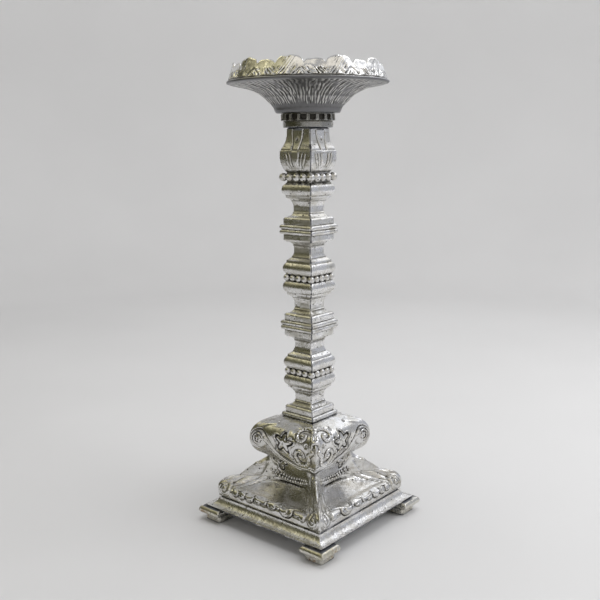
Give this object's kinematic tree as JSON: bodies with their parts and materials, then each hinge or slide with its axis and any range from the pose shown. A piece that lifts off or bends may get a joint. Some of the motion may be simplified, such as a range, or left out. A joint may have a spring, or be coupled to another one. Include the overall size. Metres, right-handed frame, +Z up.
{
  "type": "candlestick",
  "caption": "Tall table candlestick: square moulded stem on a scrolled block, cushion base and footed plinth, with a round ruffled drip dish that lifts off over its pricket spike.",
  "frame": {"origin": "on the ground under the middle of the plinth, on the axis of the tie rod", "axes": "+Z up the stem; X and Y along the sides of the square plinth; -Y is the front"},
  "size_m": [0.11, 0.11, 0.305],
  "materials": {
    "silver_plate": "worn silver plate over grey cast metal, dark tarnish in the hollows and on rubbed edges",
    "plinth_plate": "worn silver plate with fine upright brush lines and brown pits",
    "foot_plate": "worn, slightly yellowed plate with grey bare patches",
    "dark_plate": "tarnished silver plate, grey under the dish and bright on the rim",
    "brass_screws": "dull brass",
    "steel": "plain zinc-plated steel"
  },
  "bodies": {
    "stick": {"foot_front_left": "foot_plate", "foot_front_right": "foot_plate", "foot_back_left": "foot_plate", "foot_back_right": "foot_plate", "foot_screws": "brass_screws", "plinth": "plinth_plate", "cushion_base": "silver_plate", "scroll_block": "silver_plate", "lower_stem_section": "silver_plate", "middle_stem_section": "silver_plate", "upper_stem_section": "silver_plate", "candle_collar": "dark_plate", "pricket_spike": "steel", "tie_rod": "steel", "clamp_washer": "steel", "lock_washer": "steel", "clamp_nut": "steel"},
    "dish": {"drip_dish": "dark_plate"}
  },
  "joints": [
    {"name": "dish_lift", "type": "slide", "parent": "stick", "child": "dish", "axis": [0, 0, 1], "range_m": [0, 0.03]}
  ]
}
